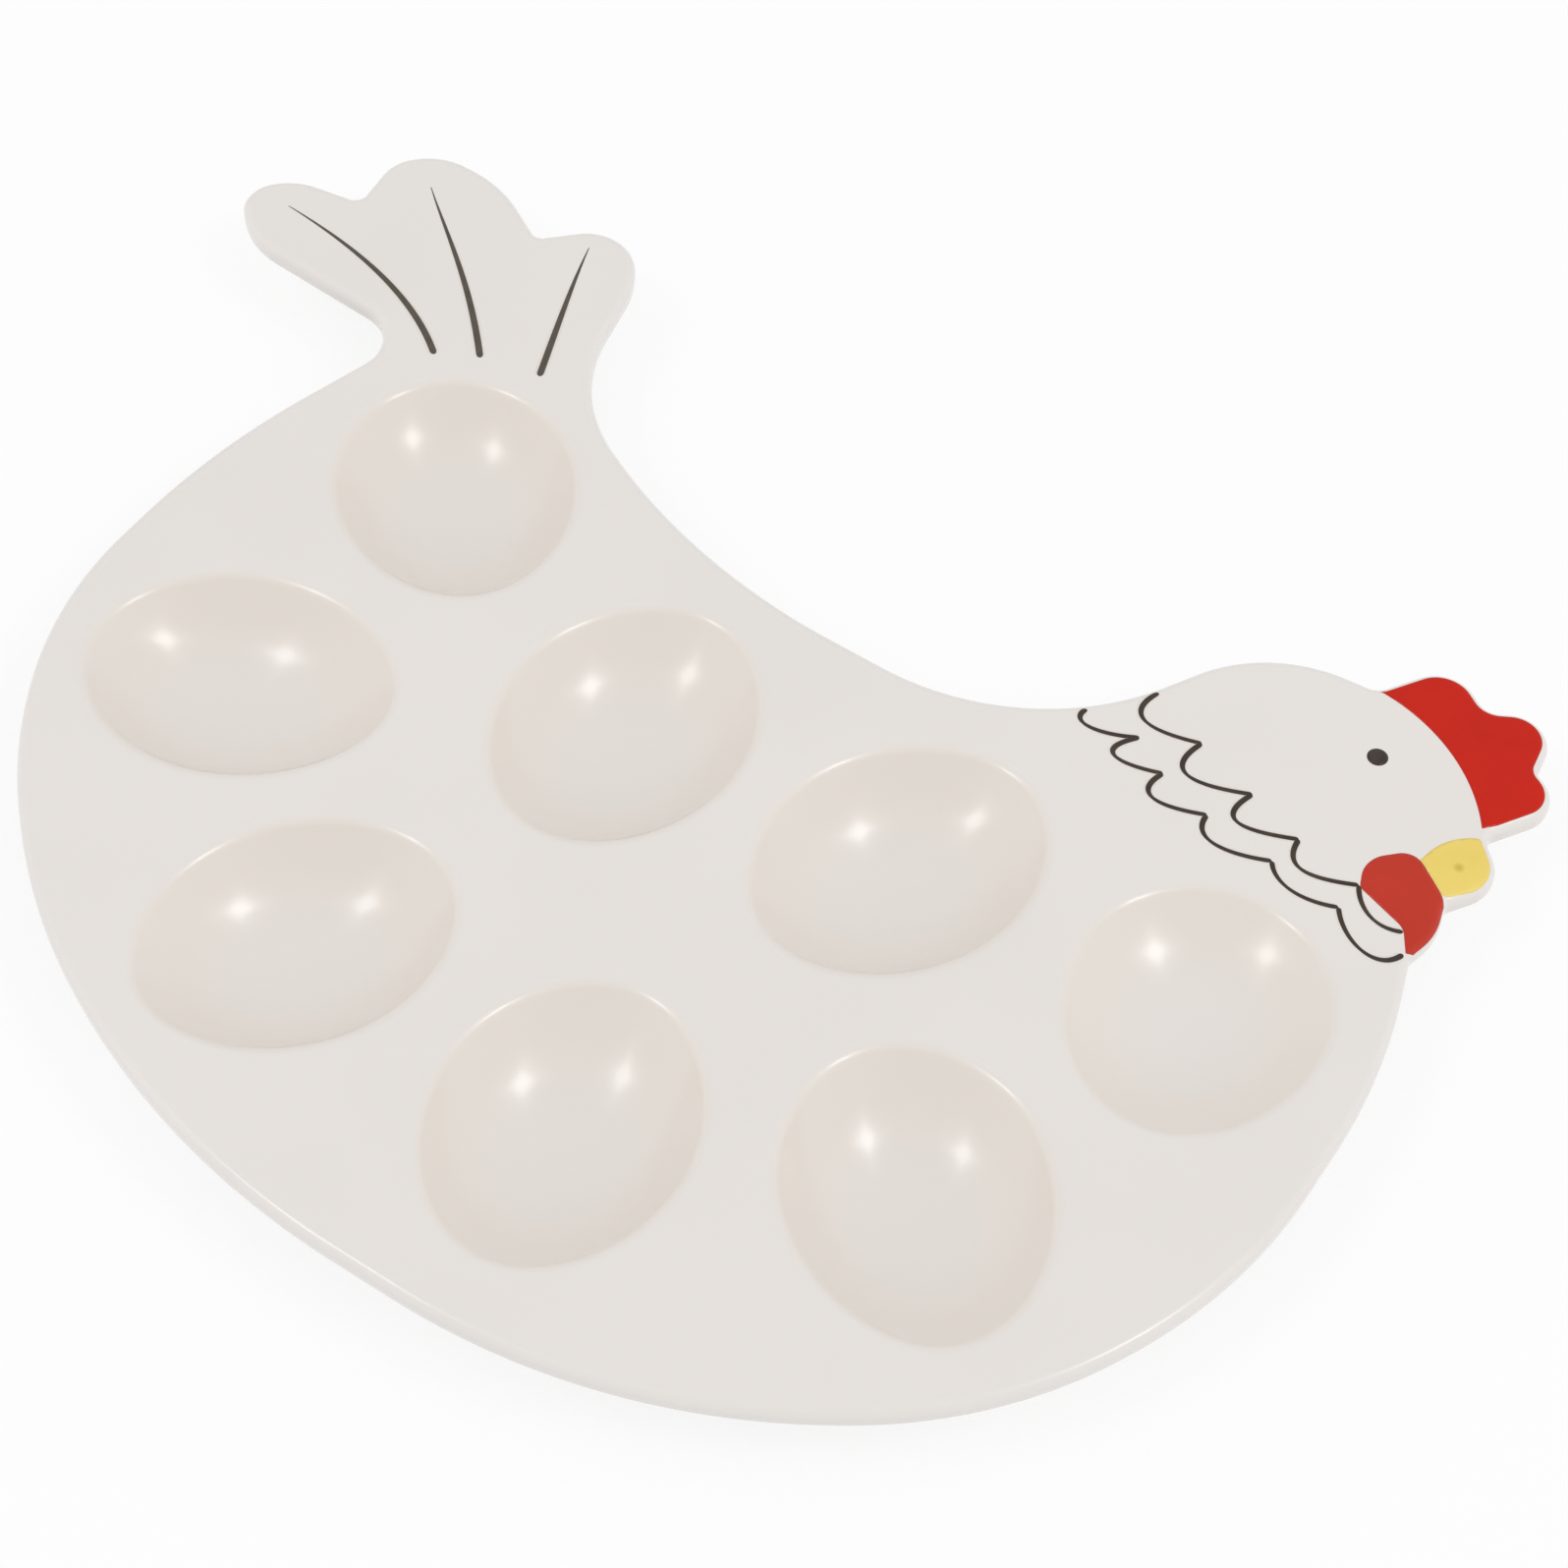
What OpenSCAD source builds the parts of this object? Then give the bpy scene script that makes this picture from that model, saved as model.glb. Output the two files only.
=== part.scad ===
// Hen-shaped deviled egg platter: one glazed ceramic casting with eight egg wells,
// and the colours fired onto its deck. X runs from the tail to the breast, Y from
// the belly to the comb, and Z = 0 is the surface that the platter stands on.

/* [Deck] */
// Thickness of the flat deck
deck_t = 5; // [4.4:0.1:7]
// Rounding of the rim, above and below
rim_r = 2; // [0.8:0.1:2.4]

/* [Egg wells] */
// Length of a full-size well at the deck
well_l = 62; // [56:0.5:66]
// Width of a well at the deck
well_w = 49.4; // [44:0.2:53]
// Depth of a well below the deck
well_depth = 14; // [10:0.5:18]
// Wall of the cup under a well
cup_wall = 4.5; // [3:0.1:6]
// Height ground off the bottom of each cup so that it stands flat
foot_cut = 0.8; // [0.4:0.1:1.4]

/* [Fired colours] */
// Thickness of the colours
paint_t = 0.3; // [0.1:0.05:0.6]
// White margin between the colours and the rim
paint_margin = 1.6; // [1:0.1:2.4]
// Diameter of the eye
eye_d = 4.2; // [3:0.1:6]
// Radius of the crown of the head, where the comb begins
crown_r = 40.3; // [38:0.1:42]
// Width of the collar lines
collar_w = 0.9; // [0.4:0.05:1.2]
// Width of a tail stroke at its root
stroke_root_w = 1.5; // [0.8:0.1:2.4]
// Width of a tail stroke at its tip
stroke_tip_w = 0.3; // [0.2:0.05:0.7]

/* [Hidden] */

white = [0.91, 0.89, 0.87];
red = [0.75, 0.19, 0.14];
yellow = [0.91, 0.81, 0.44];
black = [0.25, 0.23, 0.21];

// Farthest that a chord may lie from its arc
chord_tol = 0.06;
// Steps along one brushed curve, and between the rays of its round ends
curve_steps = 12;
cap_step = 30;
// Roundness of the bead that runs round the rim
bead_steps = 2;
// Roundness of the turned surfaces
$fn = 96;

deck_top = well_depth + cup_wall - foot_cut;
rim = min(rim_r, deck_t * 0.45);

// Walk round the hen, anticlockwise. Each corner is x, y and the radius that rounds it.
belly = [[-17, -116.4, 160], [75, -116.4, 136], [132, -78, 96], [155, -32, 106], [155, 22.5, 125]];
wattle_edge = [[147, 47.5, 3.5], [149, 55, 15]];
beak_edge = [[147, 62.2, 2.2], [154.2, 73, 8]];
comb_edge = [[146, 81, 2.6], [156, 96.5, 7], [147.6, 101, 2], [145.5, 116.5, 7],
             [132.4, 109, 4], [121.8, 116.2, 8], [112, 101.2, 4]];
back = [[89, 99.2, 32], [61, 49.5, 55], [-16, 49.8, 138], [-64, 74, 40]];
tail_feathers = [[-71, 107.6, 24], [-81.5, 122.5, 10.5], [-96.6, 106.8, 2.2], [-112.5, 116, 30],
                 [-128.2, 116, 14], [-136.2, 108, 10], [-134.3, 93.4, 2.5], [-149, 91, 14],
                 [-155, 85, 8], [-155, 78.6, 6.5], [-146.8, 70.4, 20]];
tail_root = [[-108.6, 68, 9.8], [-102.8, 60, 9.8]];
rump = [[-114.6, 18.5, 165], [-114.6, -31.7, 82], [-96.4, -64.6, 102], [-69, -91, 126]];
hen = concat(belly, wattle_edge, beak_edge, comb_edge, back, tail_feathers, tail_root, rump);

// Egg wells: x, y, turn of the long axis towards the blunt end, how much shorter than
// a full-size well, how far the widest section lies towards the blunt end, and how much
// shallower the well is
wells = [[-67.5, 38.5, 133, 3, 1.6, 0], [-4.5, 8.5, 91, 0, 0, 0], [56.5, 11.5, 69, 0, 0.4, 0],
         [119.5, 14, 95, 5.5, 2.6, 3.3], [-72.5, -25, 201, 0, 1.6, 0], [-26, -67, 60, 0, 0.6, 0],
         [38, -72, 100, 0, 0.4, 0], [98, -48, 134, 0, 2, 0]];

// Red wattle and yellow beak, as corners with their rounding
wattle_path = [[145.8, 47.5, 0.3], [149.6, 51, 4], [148.5, 61.3, 12], [136.4, 69.8, 4],
               [129.2, 62.6, 6.5], [131.6, 56.1, 2], [142.8, 52.4, 4]];
beak_path = [[137.2, 63.7, 1], [146.4, 63.5, 2], [153.1, 71.9, 6.6], [145.4, 79.7, 1], [139.8, 76.2, 12.5]];
eye_at = [120, 85.8];
// Middle of the brow, where the comb begins, and the way that the crown bulges there
brow_at = [135.3, 92.3];
brow_angle = 52;
crown_at = brow_at - crown_r * ray(brow_angle);
// Field beyond the crown in which the comb lies
comb_field = [[112, 98], [144.4, 81.8], [150.2, 88.6], [160, 100], [160, 121], [112, 121]];

// Brushed lines: each row is a point, its outgoing handle and the next point's incoming handle
upper_collar_path = [[[77, 75], [-3.5, -9], [-10.2, -3.5]], [[90.2, 68.8], [-3.7, -10.8], [-10.3, -4.8]],
                     [[104.3, 63.6], [-3.7, -9.6], [-10.3, -4.8]], [[116.8, 59.3], [0.2, -8], [-8.5, -4.2]],
                     [[131.3, 56.4], [1.8, -4.1], [-5.3, -2.8]], [[143.2, 51.6]]];
lower_collar_path = [[[67.5, 63.2], [-2, -4.7], [-7.5, -4.5]], [[79.5, 63], [-6.5, -7.5], [-9.1, -3.5]],
                     [[87.6, 58], [-3.1, -8], [-8.5, -3.8]], [[99.5, 54.2], [-0.3, -6.7], [-8.5, -4]],
                     [[115, 51.8], [2.5, -4.5], [-6.5, -3]], [[130.5, 49.6], [4, -6.6], [-1.8, -6.8]],
                     [[145.5, 47.1]]];
left_stroke_path = [[[-145.5, 82.7], [18, -1.4], [-14.6, 12]], [[-93.2, 65.5]]];
middle_stroke_path = [[[-124, 105.5], [11, -9.5], [-15.2, 17.2]], [[-84.8, 70.3]]];
right_stroke_path = [[[-85.2, 110.5], [3.2, -10.5], [-6.4, 16.8]], [[-71.6, 73.2]]];

// Rounded walks
function heading(a, b) = atan2(b.y - a.y, b.x - a.x);
function turn(a, b, c) = let (d = heading(b, c) - heading(a, b)) d - 360 * round(d / 360);
function arc_steps(r, angle) = ceil(angle / (2 * acos(1 - chord_tol / max(r, 1))));
function corner(a, b, c, inset) =
    let (h = heading(a, b), d = turn(a, b, c), s = sign(d), r = b[2])
    let (start = [b.x, b.y] - r * tan(abs(d) / 2) * [cos(h), sin(h)])
    let (centre = start + s * r * [-sin(h), cos(h)], n = arc_steps(r, abs(d)))
    [for (i = [0:n]) centre + (s * r - inset) * [sin(h + d * i / n), -cos(h + d * i / n)]];
function walk(path, inset = 0) =
    let (n = len(path))
    [for (i = [0:n - 1]) each corner(path[(i + n - 1) % n], path[i], path[(i + 1) % n], inset)];

// Brushed curves, which swell fast from their first point
function bezier(p, t) = let (u = 1 - t)
    u * u * u * p[0] + 3 * u * u * t * p[1] + 3 * u * t * t * p[2] + t * t * t * p[3];
function bezier_heading(p, t) = let (u = 1 - t)
    let (d = u * u * (p[1] - p[0]) + 2 * u * t * (p[2] - p[1]) + t * t * (p[3] - p[2])) atan2(d.y, d.x);
function handles(from, to) = [from[0], from[0] + from[1], to[0] + from[2], to[0]];
function ray(angle) = [cos(angle), sin(angle)];
function brush(p, w0, w1) =
    let (h0 = bezier_heading(p, 0), h1 = bezier_heading(p, 1), n = curve_steps)
    let (half = [for (i = [0:n]) (w0 + (w1 - w0) * (i / n) * (2 - i / n)) / 2])
    concat(
        [for (i = [0:n]) bezier(p, i / n) - half[i] * ray(bezier_heading(p, i / n) + 90)],
        [for (a = [cap_step - 90:cap_step:90 - cap_step]) p[3] + half[n] * ray(h1 + a)],
        [for (i = [n:-1:0]) bezier(p, i / n) + half[i] * ray(bezier_heading(p, i / n) + 90)],
        [for (a = [90 + cap_step:cap_step:270 - cap_step]) p[0] + half[0] * ray(h0 + a)]
    );

module brushed(path, w0, w1)
    for (i = [0:len(path) - 2])
        polygon(brush(handles(path[i], path[i + 1]), w0, w1));

// A colour lies on the deck
module fired() translate([0, 0, deck_top]) linear_extrude(paint_t) children();

module painted_area() polygon(walk(hen, paint_margin));

// Rim bead: a ball turned from points, so that it is exactly as high as it is wide
module bead()
    rotate_extrude($fn = 4 * bead_steps)
        polygon([for (i = [-bead_steps:bead_steps]) rim * ray(90 * i / bead_steps)]);

module deck()
    translate([0, 0, deck_top - deck_t + rim])
        minkowski() {
            linear_extrude(deck_t - 2 * rim) polygon(walk(hen, rim));
            bead();
        }

// Radius of an arc from half of its chord and its height
function arc_r(half, height) = (half * half + height * height) / (2 * height);

// Half of an egg's turned profile: the arc over half_l, grown by the wall
module egg_half(half_l, depth, grow) {
    egg_r = arc_r(well_w / 2, depth);
    long_r = arc_r(half_l, depth);
    intersection() {
        translate([egg_r - long_r, 0]) circle(long_r + grow);
        square([egg_r + grow, long_r + grow]);
    }
}

// An egg lying above the deck, so that its underside is a well or the cup round one
module egg(well, grow) {
    half_l = (well_l - well[3]) / 2;
    shift = well[4];
    depth = well_depth - well[5];
    translate([well.x, well.y, deck_top - depth + arc_r(well_w / 2, depth)])
        rotate([0, 0, well[2]])
            translate([shift, 0, 0])
                rotate([0, 90, 0])
                    rotate_extrude() {
                        egg_half(half_l - shift, depth, grow);
                        mirror([0, 1]) egg_half(half_l + shift, depth, grow);
                    }
}

module cup(well) {
    size = well_l + 2 * cup_wall;
    intersection() {
        egg(well, cup_wall);
        translate([well.x - size / 2, well.y - size / 2, 0])
            cube([size, size, deck_top - deck_t / 2]);
    }
}

module platter() color(white) difference() {
    union() {
        deck();
        for (well = wells) cup(well);
    }
    for (well = wells) egg(well, 0);
}

module comb() color(red) fired() difference() {
    intersection() {
        painted_area();
        polygon(comb_field);
    }
    translate(crown_at) circle(crown_r);
}

module wattle_shape() intersection() {
    painted_area();
    polygon(walk(wattle_path));
}

module wattle() color(red) fired() wattle_shape();

module beak() color(yellow) fired() difference() {
    intersection() {
        painted_area();
        polygon(walk(beak_path));
    }
    polygon(walk(wattle_path));
}

module eye() color(black) fired() translate(eye_at) circle(d = eye_d);

module upper_collar() color(black) fired() difference() {
    brushed(upper_collar_path, collar_w, collar_w);
    polygon(walk(wattle_path));
}

module lower_collar() color(black) fired() difference() {
    brushed(lower_collar_path, collar_w, collar_w);
    polygon(walk(wattle_path));
}

module tail_stroke(path) color(black) fired() brushed(path, stroke_tip_w, stroke_root_w);

platter();
comb();
beak();
wattle();
eye();
upper_collar();
lower_collar();
tail_stroke(left_stroke_path);  // left_tail_stroke
tail_stroke(middle_stroke_path);  // middle_tail_stroke
tail_stroke(right_stroke_path);  // right_tail_stroke
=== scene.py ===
import math

import bmesh
import bpy
import numpy as np
from mathutils import Matrix, Vector
from mathutils.geometry import delaunay_2d_cdt


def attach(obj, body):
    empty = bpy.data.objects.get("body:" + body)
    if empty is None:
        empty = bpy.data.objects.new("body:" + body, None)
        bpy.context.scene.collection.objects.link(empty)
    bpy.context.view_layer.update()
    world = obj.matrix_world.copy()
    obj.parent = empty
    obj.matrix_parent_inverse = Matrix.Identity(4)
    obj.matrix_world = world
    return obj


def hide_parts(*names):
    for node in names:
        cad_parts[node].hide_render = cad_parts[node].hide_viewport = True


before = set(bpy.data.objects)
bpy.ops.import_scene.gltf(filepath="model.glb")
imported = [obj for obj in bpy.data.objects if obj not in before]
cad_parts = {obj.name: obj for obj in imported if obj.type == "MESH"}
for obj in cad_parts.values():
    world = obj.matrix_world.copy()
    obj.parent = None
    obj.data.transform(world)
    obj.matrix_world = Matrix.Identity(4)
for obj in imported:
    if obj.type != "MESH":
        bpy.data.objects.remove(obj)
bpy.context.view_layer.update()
print("frame loaded:", len(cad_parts), "nodes")

mm = 0.001  # sizes below are in millimetres, meshes in metres


class Nodes:  # adds nodes to one tree
    def __init__(self, tree):
        self.tree = tree

    def add(self, kind, settings=None, sockets=None, out=0):
        node = self.tree.nodes.new(kind)
        for name, value in (settings or {}).items():
            setattr(node, name, value)
        for key, value in (sockets or {}).items():
            if isinstance(value, Wire):
                self.tree.links.new(value.socket, node.inputs[key])
            else:
                node.inputs[key].default_value = value
        return Wire(self, node.outputs[out]) if node.outputs else None


class Wire:  # one socket: every sign in an expression adds a Math node
    def __init__(self, nodes, socket):
        self.nodes, self.socket = nodes, socket

    def at(self, name):  # another output of the same node
        return Wire(self.nodes, self.socket.node.outputs[name])

    def maths(self, operation, *values):
        return self.nodes.add("ShaderNodeMath", {"operation": operation}, dict(enumerate(values)))

    def __add__(self, other):
        return self.maths("ADD", self, other)

    def __sub__(self, other):
        return self.maths("SUBTRACT", self, other)

    def __rsub__(self, other):
        return self.maths("SUBTRACT", other, self)

    def __mul__(self, other):
        return self.maths("MULTIPLY", self, other)

    def __truediv__(self, other):
        return self.maths("DIVIDE", self, other)

    def __gt__(self, other):
        return self.maths("GREATER_THAN", self, other)

    def __lt__(self, other):
        return self.maths("LESS_THAN", self, other)

    __radd__, __rmul__ = __add__, __mul__


def root(value):
    return value.maths("SQRT", value)


def sine(value):
    return value.maths("SINE", value)


def cosine(value):
    return value.maths("COSINE", value)


def between(value, low, high):  # 0 at low, 1 at high, straight in between
    span = (value - low) / (high - low)
    return span.maths("MINIMUM", span.maths("MAXIMUM", span, 0.0), 1.0)


def srgb(red, green, blue):  # a colour as a picture shows it, 0 to 255
    parts = [c / 255 for c in (red, green, blue)]
    return tuple(c / 12.92 if c <= 0.04045 else ((c + 0.055) / 1.055) ** 2.4 for c in parts) + (1.0,)


# Finishes

def newFinish(name):
    finish = bpy.data.materials.new(name)
    finish.use_nodes = True
    finish.node_tree.nodes.clear()
    return finish, Nodes(finish.node_tree)


def noise(nodes, place, scale, detail=2.0):
    return nodes.add("ShaderNodeTexNoise", sockets={"Vector": place, "Scale": scale, "Detail": detail})


def blend(nodes, share, first, second):  # two colours
    return nodes.add("ShaderNodeMix", {"data_type": "RGBA"}, {0: share, 6: first, 7: second}, out=2)


def closeFinish(nodes, colour, roughness, normal, gloss=0.5):
    shader = nodes.add("ShaderNodeBsdfPrincipled", sockets={
        "Base Color": colour, "Roughness": roughness, "Normal": normal,
        "IOR": 1.5, "Specular IOR Level": gloss})
    nodes.add("ShaderNodeOutputMaterial", sockets={"Surface": shader})


glaze = {
    "white": srgb(235, 230, 226), "shade": srgb(233, 228, 224), "cloudScale": 22.0, "cloudBand": (0.35, 0.7),
    "wall": srgb(234, 227, 219), "wallShadeBand": (0.05, 0.24),  # painted shade: the well walls are darker and warmer; band on the root of the depth as a share of the well's
    "bottom": srgb(235, 230, 225), "bottomBand": (0.5, 0.95),  # depth as a share of the well's
    "clay": srgb(222, 211, 196), "clayBand": (0.3, 0.12), "clayRoughness": 0.6,
    "roughness": 0.10, "roughnessSpread": 0.04, "peelScale": 160.0, "peelDepth": 0.01,
}


def orangePeel(nodes, place):
    height = noise(nodes, place, glaze["peelScale"])
    return nodes.add("ShaderNodeBump", sockets={
        "Strength": 1.0, "Distance": glaze["peelDepth"] * mm, "Height": height})


def whiteGlaze():
    g = glaze
    finish, nodes = newFinish("whiteGlaze")
    place = nodes.add("ShaderNodeTexCoord", out="Object")
    cloud = noise(nodes, place, g["cloudScale"])
    colour = blend(nodes, between(cloud, *g["cloudBand"]), g["white"], g["shade"])
    depth = nodes.add("ShaderNodeAttribute", {"attribute_name": "wellDepth"}, out="Fac")  # 1 at the bottom
    # painted shade on the well walls, turning back to near-white glaze at the bottom
    wellShade = blend(nodes, between(depth, *g["bottomBand"]), g["wall"], g["bottom"])
    colour = blend(nodes, between(root(depth), *g["wallShadeBand"]), colour, wellShade)  # painted shade: the walls of the wells come out darker and warmer than the deck
    height = nodes.add("ShaderNodeSeparateXYZ", sockets={0: place}, out="Z") / mm
    bare = between(height, *g["clayBand"])  # the feet are ground, so the clay shows
    colour = blend(nodes, bare, colour, g["clay"])
    roughness = g["roughness"] + g["roughnessSpread"] * cloud + bare * g["clayRoughness"]
    closeFinish(nodes, colour, roughness, orangePeel(nodes, place))
    return finish


colours = {
    "red": srgb(206, 31, 8), "redShade": srgb(197, 29, 8), "redEdge": srgb(190, 80, 60),
    "thinRed": srgb(198, 56, 39), "thinRedShade": srgb(190, 52, 36),
    "yellow": srgb(243, 219, 120), "yellowShade": srgb(238, 211, 110), "yellowEdge": srgb(238, 222, 160),
    "black": srgb(60, 51, 46), "blackShade": srgb(72, 62, 56), "halo": srgb(233, 225, 214),
    "thinBlack": srgb(84, 77, 70), "thinBlackShade": srgb(94, 87, 79),
    "dot": srgb(196, 172, 70), "dotAt": (145.1, 71.1), "dotSize": 2.6, "dotShare": 0.7,  # nostril in the beak
    "edge": 0.18, "edgeShare": 0.6, "brushScale": 90.0, "brushBand": (0.3, 0.75),
    "lineScale": 360.0, "lineBand": (0.35, 0.75),
    "haloBand": (0.56, 0.74), "whiteBand": (0.72, 0.96),  # in shares of half of a line's width
    "roughness": 0.15, "roughnessSpread": 0.05, "gloss": 0.24,
}


def closeColour(nodes, place, colour, brushed):
    roughness = colours["roughness"] + colours["roughnessSpread"] * brushed
    closeFinish(nodes, colour, roughness, orangePeel(nodes, place), colours["gloss"])


def firedColour(name, main, shade, edge, dotted=False):  # a patch of colour under the glaze
    finish, nodes = newFinish(name)
    place = nodes.add("ShaderNodeTexCoord", out="Object")
    brushed = noise(nodes, place, colours["brushScale"], 4.0)
    colour = blend(nodes, between(brushed, *colours["brushBand"]), main, shade)
    if dotted:
        at = nodes.add("ShaderNodeSeparateXYZ", sockets={0: place})
        x, y = (at.at(axis) / mm - middle for axis, middle in zip("XY", colours["dotAt"]))
        dot = between(root(x * x + y * y), colours["dotSize"] / 2, colours["dotSize"] / 8)
        colour = blend(nodes, dot * colours["dotShare"], colour, colours["dot"])
    border = nodes.add("ShaderNodeAttribute", {"attribute_name": "fromEdge"}, out="Fac")
    rubbed = between(border, colours["edge"], 0.0) * colours["edgeShare"]
    colour = blend(nodes, rubbed, colour, edge)
    closeColour(nodes, place, colour, brushed)
    return finish


def brushedBlack(name, main, shade):  # a brushed line: dark in the middle, a pale halo along both sides
    finish, nodes = newFinish(name)
    place = nodes.add("ShaderNodeTexCoord", out="Object")
    brushed = noise(nodes, place, colours["lineScale"], 3.0)
    colour = blend(nodes, between(brushed, *colours["lineBand"]), main, shade)
    side = nodes.add("ShaderNodeAttribute", {"attribute_name": "across"}, out="Fac")
    side = side.maths("ABSOLUTE", side)
    colour = blend(nodes, between(side, *colours["haloBand"]), colour, colours["halo"])
    colour = blend(nodes, between(side, *colours["whiteBand"]), colour, glaze["white"])
    closeColour(nodes, place, colour, brushed)
    return finish


# Shapes in the plane

casting = {
    "deckTop": 17.7, "deckThick": 5.0, "rimRadius": 2.0, "rimSteps": 8, "guard": 0.5,
    "wellLength": 62.0, "wellWidth": 49.4, "wellDepth": 14.0, "lipRadius": 3.2,
    "cupWall": 4.5, "cupFillet": 3.5, "footCut": 0.8, "footRounding": 0.35,
    "around": 112, "rings": 26, "lipRings": 8, "outlineStep": 0.9, "cornerStep": 7.0,
    "deckStep": 8.0, "deckClear": 3.2, "bowlWeld": 0.002, "weld": 0.001,
    "outline": [
        (-17, -116.4, 160), (75, -116.4, 136), (132, -78, 96), (155, -32, 106), (155, 22.5, 125),  # belly
        (147, 47.5, 3.5), (149, 55, 15), (147, 62.2, 2.2), (154.2, 73, 8),  # wattle, beak
        (146, 81, 2.6), (156, 96.5, 7), (147.6, 101, 2), (145.5, 116.5, 7), (132.4, 109, 4),  # comb
        (121.8, 116.2, 8), (112, 101.2, 4), (89, 99.2, 32), (61, 49.5, 55), (-16, 49.8, 138), (-64, 74, 40),
        (-71, 107.6, 24), (-81.5, 122.5, 10.5), (-96.6, 106.8, 2.2), (-112.5, 116, 30),  # tail
        (-128.2, 116, 14), (-136.2, 108, 10), (-134.3, 93.4, 2.5), (-149, 91, 14),
        (-155, 85, 8), (-155, 78.6, 6.5), (-146.8, 70.4, 20), (-108.6, 68, 9.8), (-102.8, 60, 9.8),
        (-114.6, 18.5, 165), (-114.6, -31.7, 82), (-96.4, -64.6, 102), (-69, -91, 126)],  # rump
    "wells": [  # x, y, turn of the blunt end, how much shorter, shift of the widest part, how much shallower
        (-67.5, 38.5, 133, 3, 1.6, 0), (-4.5, 8.5, 91, 0, 0, 0), (56.5, 11.5, 69, 0, 0.4, 0),
        (119.5, 14, 95, 5.5, 2.6, 3.3), (-72.5, -25, 201, 0, 1.6, 0), (-26, -67, 60, 0, 0.6, 0),
        (38, -72, 100, 0, 0.4, 0), (98, -48, 134, 0, 2, 0)],
}


def roundedWalk(corners, step):  # points along a walk of rounded corners, and their inward normals
    points, normals = [], []
    for i, (x, y, radius) in enumerate(corners):
        before, after = corners[i - 1], corners[(i + 1) % len(corners)]
        heading = math.atan2(y - before[1], x - before[0])
        turn = math.remainder(math.atan2(after[1] - y, after[0] - x) - heading, 2 * math.pi)
        side, reach = math.copysign(radius, turn), radius * math.tan(abs(turn) / 2)
        start = np.array((x - reach * math.cos(heading), y - reach * math.sin(heading)))
        centre = start + side * np.array((-math.sin(heading), math.cos(heading)))
        bends = math.degrees(abs(turn)) / casting["cornerStep"]
        steps = max(math.ceil(radius * abs(turn) / step), math.ceil(bends))
        for angle in heading + turn * np.arange(steps + 1) / steps:
            inward = np.array((-math.sin(angle), math.cos(angle)))
            points.append(centre - side * inward)
            normals.append(inward)
    return np.array(points), np.array(normals)


def inside(points, loop):  # which points lie in a closed loop
    x, y = points[:, 0][:, None], points[:, 1][:, None]
    a, b = loop, np.roll(loop, -1, axis=0)
    spans = (a[:, 1] > y) != (b[:, 1] > y)
    rise = np.where(b[:, 1] == a[:, 1], 1e-12, b[:, 1] - a[:, 1])
    crossing = a[:, 0] + (y - a[:, 1]) / rise * (b[:, 0] - a[:, 0])
    return (np.count_nonzero(spans & (x < crossing), axis=1) % 2) == 1


def distance(points, starts, ends):  # from points to the nearest of some straight stretches
    along = ends - starts
    length = np.maximum((along ** 2).sum(1), 1e-12)
    best = np.full(len(points), np.inf)
    for chunk in np.array_split(np.arange(len(points)), max(1, len(points) // 400)):
        offset = points[chunk][:, None] - starts
        share = np.clip((offset * along).sum(2) / length, 0, 1)
        best[chunk] = np.sqrt(((offset - share[:, :, None] * along) ** 2).sum(2)).min(1)
    return best


def gridIn(low, high, step):  # staggered points over a rectangle
    rows = np.arange(low[1], high[1], step * 0.87)
    columns = np.arange(low[0], high[0], step)
    return np.array([(x + step / 2 * (i % 2), y) for i, y in enumerate(rows) for x in columns])


def triangulate(loops, spare, keep):  # triangles between loops, with spare points among them
    points = [tuple(p) for loop in loops for p in loop] + [tuple(p) for p in spare]
    edges, first = [], 0
    for loop in loops:
        edges += [(first + i, first + (i + 1) % len(loop)) for i in range(len(loop))]
        first += len(loop)
    flat, _, faces, origin, _, _ = delaunay_2d_cdt([Vector(p) for p in points], edges, [], 0, 1e-7)
    flat = np.array([(p.x, p.y) for p in flat])
    faces = np.array(faces)
    faces = faces[keep(flat[faces].mean(axis=1))]
    return flat, faces, [ids[0] if ids else -1 for ids in origin]


# The casting

def geometryTree(name, inputs):
    tree = bpy.data.node_groups.new(name, "GeometryNodeTree")
    tree.interface.new_socket("Geometry", in_out="OUTPUT", socket_type="NodeSocketGeometry")
    for label, kind in inputs.items():
        tree.interface.new_socket(label, in_out="INPUT", socket_type="NodeSocket" + kind)
    nodes = Nodes(tree)
    return nodes, nodes.add("NodeGroupInput")


def closeTree(nodes, geometry, material):
    smooth = nodes.add("GeometryNodeSetShadeSmooth", sockets={"Geometry": geometry})
    real = nodes.add("GeometryNodeRealizeInstances", sockets={"Geometry": smooth})
    finished = nodes.add("GeometryNodeSetMaterial", sockets={"Geometry": real, "Material": material})
    nodes.add("NodeGroupOutput", sockets={"Geometry": finished})
    return nodes.tree


def grow(name, tree, values):  # the plain mesh that a tree makes from these values
    holder = bpy.data.objects.new(name, bpy.data.meshes.new(name))
    bpy.context.scene.collection.objects.link(holder)
    shape = holder.modifiers.new("shape", "NODES")
    shape.node_group = tree
    for item in tree.interface.items_tree:
        if item.in_out == "INPUT":
            shape[item.identifier] = values[item.name]
    seen = holder.evaluated_get(bpy.context.evaluated_depsgraph_get())
    mesh = bpy.data.meshes.new_from_object(seen)
    bpy.data.objects.remove(holder)
    return mesh


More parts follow.
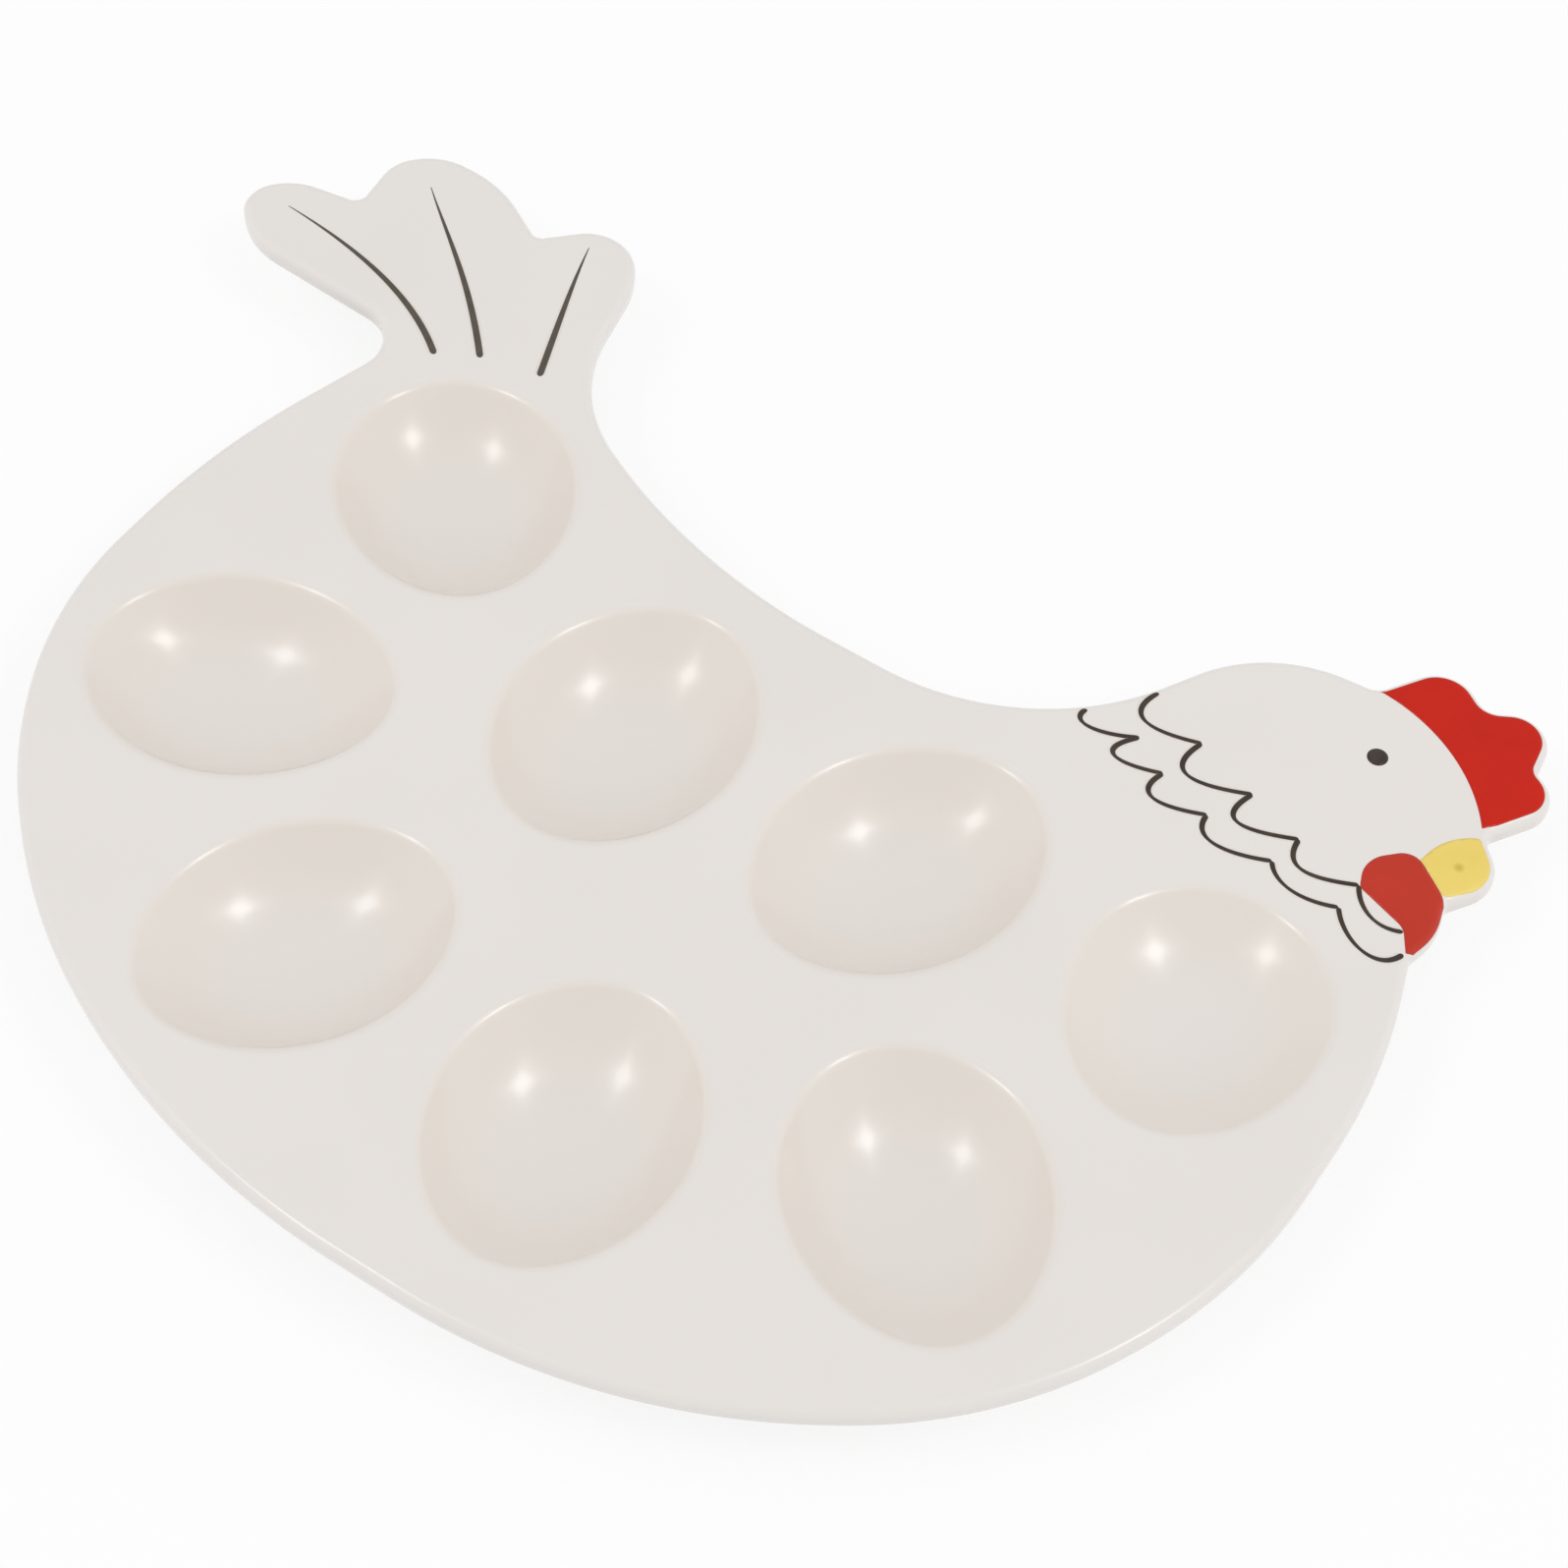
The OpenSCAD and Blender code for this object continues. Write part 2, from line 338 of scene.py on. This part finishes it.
def eggBowlTree():  # the underside of an egg that lies in a plane, with a rounded lip
    nodes, given = geometryTree("eggBowl", {
        "Egg radius": "Float", "Blunt arc": "Float", "Pointed arc": "Float", "Axis height": "Float",
        "Lip radius": "Float", "Guard": "Float", "Foot depth": "Float", "Foot rounding": "Float",
        "Around": "Int", "Rings": "Int", "Lip rings": "Int",
        "Centre": "Vector", "Turn": "Vector", "Material": "Material"})
    eggRadius, axis, lip = given.at("Egg radius"), given.at("Axis height"), given.at("Lip radius")
    lipRings, rings = given.at("Lip rings"), given.at("Rings")
    total = rings + lipRings + 1
    grid = nodes.add("GeometryNodeMeshGrid", sockets={
        "Size X": 1.0, "Size Y": 1.0,
        "Vertices X": given.at("Around") + 1, "Vertices Y": total + 1}, out="Mesh")
    at = nodes.add("ShaderNodeSeparateXYZ", sockets={0: nodes.add("GeometryNodeInputPosition")})
    angle, ring = (at.at("X") + 0.5) * (2 * math.pi), (at.at("Y") + 0.5) * total
    ahead = cosine(angle)
    arc = given.at("Pointed arc") + (given.at("Blunt arc") - given.at("Pointed arc")) * (ahead > 0.0)
    lowest = axis - eggRadius + arc
    reach = root(arc * arc - lowest * lowest)
    along = reach * ahead
    bulge = root(arc * arc - along * along)
    girth = eggRadius - arc + bulge  # radius of the egg at this section
    across = reach * sine(angle) * root((girth + axis) / (bulge + lowest))
    leanX = girth * along / bulge
    lean = root(leanX * leanX + across * across)
    slope = lean.maths("ARCTANGENT", lean / axis)  # of the wall where it meets the plane
    tangent = lip * slope.maths("TANGENT", slope / 2)
    bend = between(ring, 1.0, lipRings + 1) * slope
    out = tangent - lip * sine(bend) + given.at("Guard") * (ring < 0.5)
    share = 1 - between(ring, lipRings + 1, total)
    x, y = (along + leanX / lean * out) * share, (across + across / lean * out) * share
    girth = eggRadius - arc + root(arc * arc - x * x)
    bowl = axis - root(girth * girth - y * y)
    inBowl = ring > lipRings + 1.5
    z = bowl * inBowl - lip * (1 - cosine(bend)) * (1 - inBowl)
    z = z.maths("SMOOTH_MAX", z, given.at("Foot depth") * -1, given.at("Foot rounding"))
    spot = nodes.add("ShaderNodeCombineXYZ", sockets={"X": x, "Y": y, "Z": z})
    shaped = nodes.add("GeometryNodeSetPosition", sockets={"Geometry": grid, "Position": spot})
    closed = nodes.add("GeometryNodeMergeByDistance", sockets={
        "Geometry": shaped, "Distance": casting["bowlWeld"] * mm})
    placed = nodes.add("GeometryNodeTransform", sockets={
        "Geometry": closed, "Translation": given.at("Centre"), "Rotation": given.at("Turn")})
    return closeTree(nodes, placed, given.at("Material"))


def bowlValues(well, wall, plane, lip, foot, finish):
    c = casting
    x, y, turn, shorter, shift, shallower = well
    half, depth = (c["wellLength"] - shorter) / 2, c["wellDepth"] - shallower
    radius = (c["wellWidth"] ** 2 / 4 + depth ** 2) / (2 * depth)
    arc = {end: (h * h + depth * depth) / (2 * depth) + wall for end, h in
           (("Blunt", half - shift), ("Pointed", half + shift))}
    angle = math.radians(turn)
    centre = (x + shift * math.cos(angle), y + shift * math.sin(angle), plane)
    return {
        "Egg radius": (radius + wall) * mm,
        "Blunt arc": arc["Blunt"] * mm, "Pointed arc": arc["Pointed"] * mm,
        "Axis height": (radius - depth + c["deckTop"] - plane) * mm, "Lip radius": lip * mm,
        "Guard": c["guard"] * mm, "Foot depth": foot * mm, "Foot rounding": c["footRounding"] * mm,
        "Around": c["around"], "Rings": c["rings"], "Lip rings": c["lipRings"],
        "Centre": [v * mm for v in centre], "Turn": [0.0, 0.0, angle], "Material": finish}


def rimRings():  # how far in and how high each ring of the rim lies, from the deck to the underside
    c = casting
    radius, low = c["rimRadius"], c["deckTop"] - c["deckThick"]
    bends = [math.radians(90 * i / c["rimSteps"]) for i in range(c["rimSteps"] + 1)]
    upper = [(radius * (1 - math.sin(a)), c["deckTop"] - radius * (1 - math.cos(a))) for a in bends]
    lower = [(radius * (1 - math.cos(a)), low + radius * (1 - math.sin(a))) for a in bends]
    inner = radius + c["guard"]
    return [(inner, c["deckTop"])] + upper + lower + [(inner, low)]


def makeCasting(finish):
    c = casting
    low = c["deckTop"] - c["deckThick"]
    points, faces = [], []

    def addMesh(mesh):  # and return its open edge, in order
        first = len(points)
        points.extend(np.array(v.co) / mm for v in mesh.vertices)
        faces.extend([first + i for i in p.vertices] for p in mesh.polygons)
        shape = bmesh.new()
        shape.from_mesh(mesh)
        edge = [first + v.index for v in shape.verts if v.is_boundary]
        shape.free()
        bpy.data.meshes.remove(mesh)
        middle = np.mean([points[i] for i in edge], axis=0)
        return sorted(edge, key=lambda i: math.atan2(points[i][1] - middle[1], points[i][0] - middle[0]))

    tree = eggBowlTree()
    deep = 2 * c["wellDepth"]  # the wells have no foot
    wells, depths = [], []
    for well in c["wells"]:
        values = bowlValues(well, 0.0, c["deckTop"], c["lipRadius"], deep, finish)
        wells.append(addMesh(grow("well", tree, values)))
        depths += [(c["deckTop"] - p[2]) / (c["wellDepth"] - well[5]) for p in points[len(depths):]]
    cups = [addMesh(grow("cup", tree, bowlValues(w, c["cupWall"], low, c["cupFillet"], low, finish)))
            for w in c["wells"]]
    print("bowls grown:", len(wells) + len(cups))

    count = len(outline)
    rings = []
    for inset, height in rimRings():
        rings.append(range(len(points), len(points) + count))
        points.extend((*p, height) for p in outline + inset * inward)
    for upper, lower in zip(rings, rings[1:]):
        faces.extend([upper[i - 1], lower[i - 1], lower[i], upper[i]] for i in range(count))

    for edge, holes in ((list(rings[0]), wells), (list(rings[-1]), cups)):  # deck and underside
        loops = [np.array([points[i][:2] for i in loop]) for loop in [edge] + holes]
        spare = gridIn(outline.min(0), outline.max(0), c["deckStep"])
        spare = spare[inside(spare, loops[0])]
        for loop in loops[1:]:
            spare = spare[~inside(spare, loop)]
        walls = np.concatenate(loops), np.concatenate([np.roll(loop, -1, axis=0) for loop in loops])
        spare = spare[distance(spare, *walls) > c["deckClear"]]

        def onDeck(spots):
            held = inside(spots, loops[0])
            for loop in loops[1:]:
                held &= ~inside(spots, loop)
            return held

        flat, parts, origin = triangulate(loops, spare, onDeck)
        known = [i for loop in [edge] + holes for i in loop]
        height = points[edge[0]][2]
        place = {}
        for i in np.unique(parts):
            if 0 <= origin[i] < len(known):
                place[i] = known[origin[i]]
            else:
                place[i] = len(points)
                points.append((*flat[i], height))
        faces.extend([place[i] for i in part] for part in parts)

    mesh = bpy.data.meshes.new("casting")
    mesh.from_pydata([Vector(p) * mm for p in points], [], faces)
    depths += [0.0] * (len(points) - len(depths))
    mesh.attributes.new("wellDepth", "FLOAT", "POINT").data.foreach_set("value", depths)
    shape = bmesh.new()
    shape.from_mesh(mesh)
    bmesh.ops.remove_doubles(shape, verts=shape.verts, dist=c["weld"] * mm)
    bmesh.ops.recalc_face_normals(shape, faces=shape.faces)
    openEdges = sum(not e.is_manifold for e in shape.edges)
    shape.to_mesh(mesh)
    shape.free()
    mesh.shade_smooth()
    mesh.materials.append(finish)
    print("casting stitched:", len(mesh.polygons), "faces,", openEdges, "open edges")
    return addPiece("casting", mesh, "white_glaze", "platter")


def addPiece(name, mesh, slot, *nodes):
    piece = bpy.data.objects.new(name, mesh)
    bpy.context.scene.collection.objects.link(piece)
    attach(piece, "root")
    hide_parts(*nodes)
    return piece


outline, inward = roundedWalk(casting["outline"], casting["outlineStep"])
body = makeCasting(whiteGlaze())

# Colours fired onto the deck

film = {"edge": 0.03, "full": 0.06, "soft": 0.6, "under": 0.25, "step": 0.8, "clear": 0.24, "rimClear": 0.3,
        "rimStep": 0.4, "rimInsets": (0.55, 0.8, 1.05, 1.3, 1.55, 1.8, 2.05)}  # rows where the rim bends


def deckHeight(spots):  # of the deck and the upper half of its rim
    radius = casting["rimRadius"]
    past = np.clip(radius - distance(spots, outline, np.roll(outline, -1, axis=0)), 0, radius)
    return casting["deckTop"] - radius + np.sqrt(radius ** 2 - past ** 2)


def circle(middle, radius, count):
    turns = np.arange(count) * 2 * math.pi / count
    return np.array(middle) + radius * np.stack((np.cos(turns), np.sin(turns)), axis=1)


def spaced(loop):  # the same loop with more points on its straight stretches
    ends = np.roll(loop, -1, axis=0)
    counts = np.maximum(np.ceil(np.linalg.norm(ends - loop, axis=1) / film["rimStep"]), 1).astype(int)
    return np.concatenate([a + (b - a) * np.arange(n)[:, None] / n for a, b, n in zip(loop, ends, counts)])


def layFilm(name, loops, holds, finish, slot, node):  # holds says which spots the colour covers
    loops = [spaced(loop) for loop in loops]
    reach = np.concatenate(loops[1:]) if len(loops) > 1 else loops[0]
    spare = gridIn(reach.min(0), reach.max(0), film["step"])
    pastRim = film["rimInsets"][-1] + film["rimClear"]
    spare = spare[distance(spare, outline, np.roll(outline, -1, axis=0)) > pastRim]
    spare = np.concatenate([spare] + [spaced(outline + inset * inward) for inset in film["rimInsets"]])
    spare = spare[holds(spare)]
    walls = np.concatenate(loops), np.concatenate([np.roll(loop, -1, axis=0) for loop in loops])
    spare = spare[distance(spare, *walls) > film["clear"]]
    flat, parts, _ = triangulate(loops, spare, holds)
    used, parts = np.unique(parts, return_inverse=True)
    spots, parts = flat[used], parts.reshape(-1, 3)
    sides = {(a, b) for part in parts.tolist() for a, b in zip(part, part[1:] + part[:1])}
    border = np.array([side for side in sorted(sides) if side[::-1] not in sides])
    fromEdge = distance(spots, spots[border[:, 0]], spots[border[:, 1]])
    share = np.clip(fromEdge / film["soft"], 0, 1)
    ground, count = deckHeight(spots), len(spots)
    upright = 1 - (casting["deckTop"] - ground) / casting["rimRadius"]  # cosine of the ground's slope
    top = ground + (film["edge"] + (film["full"] - film["edge"]) * share * (2 - share)) / upright
    points = np.concatenate((np.column_stack((spots, top)), np.column_stack((spots, ground - film["under"]))))
    faces = parts.tolist() + [[count + i for i in part[::-1]] for part in parts.tolist()]
    faces += [[b, a, count + a, count + b] for a, b in border.tolist()]
    mesh = bpy.data.meshes.new(name)
    mesh.from_pydata([Vector(p) * mm for p in points], [], faces)
    marks = np.tile(fromEdge, 2).astype(np.float32)
    mesh.attributes.new("fromEdge", "FLOAT", "POINT").data.foreach_set("value", marks)
    mesh.polygons.foreach_set("use_smooth", [i < len(parts) for i in range(len(faces))])  # its top only
    mesh.materials.append(finish)
    print(name, "laid:", len(faces), "faces")
    return addPiece(name, mesh, slot, node)


red = firedColour("firedRed", colours["red"], colours["redShade"], colours["redEdge"])
thinRed = firedColour("thinRed", colours["thinRed"], colours["thinRedShade"], colours["redEdge"])
yellow = firedColour("firedYellow", colours["yellow"], colours["yellowShade"], colours["yellowEdge"], True)
black = brushedBlack("brushedBlack", colours["black"], colours["blackShade"])
thinBlack = brushedBlack("thinBlack", colours["thinBlack"], colours["thinBlackShade"])

comb = {"margin": 1.3, "brow": (135.3, 92.3), "browAngle": 52.0, "crownRadius": 40.3,
        "field": [(112, 98), (144.4, 81.8), (150.2, 88.6), (160, 100), (160, 121), (112, 121)]}


def makeComb():
    angle = math.radians(comb["browAngle"])
    middle = np.array(comb["brow"]) - comb["crownRadius"] * np.array((math.cos(angle), math.sin(angle)))
    edge, field = outline + comb["margin"] * inward, np.array(comb["field"], float)
    crown = circle(middle, comb["crownRadius"], 320)

    def holds(spots):
        return inside(spots, edge) & inside(spots, field) & ~inside(spots, crown)

    layFilm("comb", [edge, field, crown], holds, red, "red_colour", "comb")


wattle = {"margin": 0.3, "path": [
    (145.8, 47.5, 0.3), (149.6, 51, 4), (148.5, 61.3, 12), (136.4, 69.8, 4),
    (129.2, 62.6, 6.5), (131.6, 56.1, 2), (142.8, 52.4, 4)]}
wattleLoop = roundedWalk(wattle["path"], film["rimStep"])[0]


def makeWattle():
    edge = outline + wattle["margin"] * inward
    layFilm("wattle", [edge, wattleLoop], lambda spots: inside(spots, edge) & inside(spots, wattleLoop),
            thinRed, "red_colour", "wattle")


beak = {"margin": 0.55, "path": [
    (137.2, 63.7, 1), (146.4, 63.5, 2), (153.1, 71.9, 6.6), (145.4, 79.7, 1), (139.8, 76.2, 12.5)]}


def makeBeak():
    edge = outline + beak["margin"] * inward
    shape = roundedWalk(beak["path"], film["rimStep"])[0]

    def holds(spots):
        return inside(spots, edge) & inside(spots, shape) & ~inside(spots, wattleLoop)

    layFilm("beak", [edge, shape, wattleLoop], holds, yellow, "yellow_colour", "beak")


eye = {"at": (120.0, 85.8), "width": 4.2}


def makeEye():
    edge = circle(eye["at"], eye["width"] / 2, 72)
    layFilm("eye", [edge], lambda spots: inside(spots, edge), black, "black_colour", "eye")


makeComb()
makeWattle()
makeBeak()
makeEye()

# Brushed lines

brush = {  # a flat brush: a line is broad where it runs along the nib's direction
    "nibAngle": -105.0, "halo": 1.45, "film": 0.05, "step": 0.2, "round": 14,
    "kinds": {"collar": {"thin": 0.78, "broad": 1.3, "tip": 1.0, "finish": black},
              "quill": {"thin": 1.6, "broad": 1.6, "tip": 0.12, "finish": thinBlack}},
    "lines": {  # each row is a point, its outgoing handle and the next point's incoming handle
        "upperCollar": {"kind": "collar", "node": "upper_collar", "path": [
            ((77, 75), (-3.5, -9), (-10.2, -3.5)), ((90.2, 68.8), (-3.7, -10.8), (-10.3, -4.8)),
            ((104.3, 63.6), (-3.7, -9.6), (-10.3, -4.8)), ((116.8, 59.3), (0.2, -8), (-8.5, -4.2)),
            ((131.3, 56.4), (1.8, -4.1), (-5.3, -2.8)), ((143.2, 51.6),)]},
        "lowerCollar": {"kind": "collar", "node": "lower_collar", "path": [
            ((67.5, 63.2), (-2, -4.7), (-7.5, -4.5)), ((79.5, 63), (-6.5, -7.5), (-9.1, -3.5)),
            ((87.6, 58), (-3.1, -8), (-8.5, -3.8)), ((99.5, 54.2), (-0.3, -6.7), (-8.5, -4)),
            ((115, 51.8), (2.5, -4.5), (-6.5, -3)), ((130.5, 49.6), (4, -6.6), (-1.8, -6.8)),
            ((145.5, 47.1),)]},
        "leftTailStroke": {"kind": "quill", "node": "left_tail_stroke", "path": [
            ((-145.5, 82.7), (18, -1.4), (-14.6, 12)), ((-93.2, 65.5),)]},
        "middleTailStroke": {"kind": "quill", "node": "middle_tail_stroke", "path": [
            ((-124, 105.5), (11, -9.5), (-15.2, 17.2)), ((-84.8, 70.3),)]},
        "rightTailStroke": {"kind": "quill", "node": "right_tail_stroke", "path": [
            ((-85.2, 110.5), (3.2, -10.5), (-6.4, 16.8)), ((-71.6, 73.2),)]},
    },
}


def brushLineTree():  # a flat film of varying width along a path, laid on the ground under it
    nodes, given = geometryTree("brushLine", {
        "Path": "Object", "Ground": "Object", "Thin": "Float", "Broad": "Float", "Tip share": "Float",
        "Nib": "Vector", "Film": "Float", "Step": "Float", "Round": "Int", "Material": "Material"})
    path = nodes.add("GeometryNodeObjectInfo", sockets={"Object": given.at("Path")}, out="Geometry")
    even = nodes.add("GeometryNodeResampleCurve", {"mode": "LENGTH"}, {
        "Curve": path, "Length": given.at("Step")})
    flat = nodes.add("GeometryNodeSetCurveNormal", {"mode": "Z_UP"}, {"Curve": even})
    lean = nodes.add("ShaderNodeVectorMath", {"operation": "DOT_PRODUCT"},
                     {0: nodes.add("GeometryNodeInputTangent"), 1: given.at("Nib")}, out="Value")
    pressed = given.at("Thin") + (given.at("Broad") - given.at("Thin")) * lean.maths("ABSOLUTE", lean)
    walked = nodes.add("GeometryNodeSplineParameter", out="Length")
    tip, done = given.at("Tip share"), walked.at("Factor")
    width = pressed * (tip + (1 - tip) * done * (2 - done))  # swells fast from the tip
    left = nodes.add("GeometryNodeSplineLength", out="Length") - walked
    toEnd = between(walked.maths("MINIMUM", walked, left), 0.0, width * 0.5)
    rounded = 0.03 + 0.97 * root(toEnd * (2 - toEnd))  # round ends that never shrink to nothing
    ring = nodes.add("GeometryNodeCurvePrimitiveCircle", sockets={
        "Resolution": given.at("Round"), "Radius": 0.5})
    spot = nodes.add("GeometryNodeInputPosition")
    at = nodes.add("ShaderNodeSeparateXYZ", sockets={0: spot})
    marked = nodes.add("GeometryNodeStoreNamedAttribute", {"data_type": "FLOAT", "domain": "POINT"},
                       {"Geometry": ring, "Name": "across", "Value": at.at("X") * 2})
    squeezed = nodes.add("ShaderNodeCombineXYZ", sockets={"X": 1.0, "Y": given.at("Film"), "Z": 1.0})
    section = nodes.add("GeometryNodeTransform", sockets={"Geometry": marked, "Scale": squeezed})
    swept = nodes.add("GeometryNodeCurveToMesh", sockets={
        "Curve": flat, "Profile Curve": section, "Scale": width * rounded, "Fill Caps": True})
    ground = nodes.add("GeometryNodeObjectInfo", sockets={"Object": given.at("Ground")}, out="Geometry")
    above = nodes.add("ShaderNodeCombineXYZ", sockets={"X": at.at("X"), "Y": at.at("Y"), "Z": 1.0})
    hit = nodes.add("GeometryNodeRaycast", sockets={
        "Target Geometry": ground, "Source Position": above, "Ray Direction": (0, 0, -1),
        "Ray Length": 2.0}, out="Hit Position")
    height = nodes.add("ShaderNodeSeparateXYZ", sockets={0: hit}, out="Z") + at.at("Z")
    onGround = nodes.add("ShaderNodeCombineXYZ", sockets={"X": at.at("X"), "Y": at.at("Y"), "Z": height})
    laid = nodes.add("GeometryNodeSetPosition", sockets={"Geometry": swept, "Position": onGround})
    return closeTree(nodes, laid, given.at("Material"))


def drawPath(rows):  # one Bezier stretch between each two rows
    data = bpy.data.curves.new("path", "CURVE")
    data.dimensions, data.resolution_u = "3D", 32
    for (start, leave, arrive), (end, *_) in zip(rows, rows[1:]):
        stretch = data.splines.new("BEZIER")
        stretch.bezier_points.add(1)
        for knot, spot, handle, out in zip(stretch.bezier_points, (start, end), (leave, arrive), (1, -1)):
            knot.handle_left_type = knot.handle_right_type = "FREE"
            knot.co = Vector((*spot, 0)) * mm
            arm = Vector((*handle, 0)) * mm * out
            knot.handle_right, knot.handle_left = knot.co + arm, knot.co - arm
    path = bpy.data.objects.new("path", data)
    bpy.context.scene.collection.objects.link(path)
    return path


brushTree = brushLineTree()
nib = math.radians(brush["nibAngle"])
for name, line in brush["lines"].items():
    path, kind = drawPath(line["path"]), brush["kinds"][line["kind"]]
    thin, broad = (kind[k] * brush["halo"] * mm for k in ("thin", "broad"))
    mesh = grow(name, brushTree, {
        "Path": path, "Ground": body, "Thin": thin, "Broad": broad,
        "Tip share": kind["tip"], "Nib": [math.cos(nib), math.sin(nib), 0.0], "Film": brush["film"],
        "Step": brush["step"] * mm, "Round": brush["round"], "Material": kind["finish"]})
    bpy.data.objects.remove(path)
    addPiece(name, mesh, "black_colour", line["node"])
    print(name, "brushed:", len(mesh.polygons), "faces")

# Camera, light and stage

camera = {"eye": (230.5, -335.2, 550.7), "azimuth": 30.01, "elevation": 52.926, "roll": 4.185, "lens": 79.99}


def makeCamera():
    c = camera
    turn, lift, roll = (math.radians(c[k]) for k in ("azimuth", "elevation", "roll"))
    right = Vector((math.cos(turn), math.sin(turn), 0))
    ahead = Vector((-math.sin(turn) * math.cos(lift), math.cos(turn) * math.cos(lift), -math.sin(lift)))
    up = right.cross(ahead)
    across = math.cos(roll) * right + math.sin(roll) * up
    upright = math.cos(roll) * up - math.sin(roll) * right
    data = bpy.data.cameras.new("camera")
    data.lens, data.sensor_width, data.clip_start, data.clip_end = c["lens"], 36.0, 0.01, 50.0
    held = bpy.data.objects.new("camera", data)
    axes = Matrix((across, upright, -ahead)).transposed().to_4x4()
    held.matrix_world = Matrix.Translation(Vector(c["eye"]) * mm) @ axes
    bpy.context.scene.collection.objects.link(held)
    bpy.context.scene.camera = held


makeCamera()

lamps = {  # a softbox is brightest in its middle, so each is four panels, one before another
    "panels": {1.5: 0.3, 1.0: 0.6, 0.7: 1.3, 0.42: 2.7},  # share of the width, share of the glow
    "apart": 0.01,
    "softboxes": {"right": {"at": (1212, 226, 1617), "width": 760, "glow": 1.3},
                  "left": {"at": (-726, -899, 1630), "width": 760, "glow": 1.05}},
}


def makeLamps():
    for side, box in lamps["softboxes"].items():
        for share, strength in lamps["panels"].items():
            data = bpy.data.lights.new(side + "Softbox", "AREA")
            data.size = box["width"] * share * mm
            data.energy = math.pi * box["glow"] * strength * data.size ** 2
            lamp = bpy.data.objects.new(side + "Softbox", data)
            lamp.location = Vector(box["at"]) * (1 + lamps["apart"] * (share - 1)) * mm
            lamp.rotation_euler = (-lamp.location).to_track_quat("-Z", "Y").to_euler()
            bpy.context.scene.collection.objects.link(lamp)


makeLamps()

stage = {"floorSize": 12.0, "floor": srgb(250, 250, 250), "white": 0.84,
         "room": 0.64, "walls": 0.48, "across": (0.866, 0.5, 0.0)}  # the room is brighter to both sides


def makeStage():
    finish, nodes = newFinish("paleFloor")
    path = nodes.add("ShaderNodeLightPath", out="Is Camera Ray")
    shown = path.maths("MAXIMUM", path, path.at("Is Glossy Ray"))
    lit = nodes.add("ShaderNodeBsdfDiffuse", sockets={"Color": stage["floor"]})
    white = nodes.add("ShaderNodeEmission", sockets={"Color": (1, 1, 1, 1), "Strength": 1.0})
    mixed = nodes.add("ShaderNodeMixShader", sockets={0: shown * stage["white"], 1: lit, 2: white})
    nodes.add("ShaderNodeOutputMaterial", sockets={"Surface": mixed})
    half = stage["floorSize"] / 2
    mesh = bpy.data.meshes.new("floor")
    corners = [(-half, -half, 0), (half, -half, 0), (half, half, 0), (-half, half, 0)]
    mesh.from_pydata(corners, [], [(0, 1, 2, 3)])
    mesh.materials.append(finish)
    floor = bpy.data.objects.new("floor", mesh)
    bpy.context.scene.collection.objects.link(floor)
    world = bpy.data.worlds.new("room")
    world.use_nodes = True
    world.node_tree.nodes.clear()
    nodes = Nodes(world.node_tree)
    seen = nodes.add("ShaderNodeLightPath", out="Is Camera Ray")
    way = nodes.add("ShaderNodeTexCoord", out="Generated")
    side = nodes.add("ShaderNodeVectorMath", {"operation": "DOT_PRODUCT"}, {0: way, 1: stage["across"]},
                     out="Value")
    light = stage["room"] + stage["walls"] * side * side
    shown = light + seen * (1 - light)
    sky = nodes.add("ShaderNodeBackground", sockets={"Color": (1, 1, 1, 1), "Strength": shown})
    nodes.add("ShaderNodeOutputWorld", sockets={"Surface": sky})
    bpy.context.scene.world = world


makeStage()
bpy.context.scene.view_settings.view_transform = "Standard"
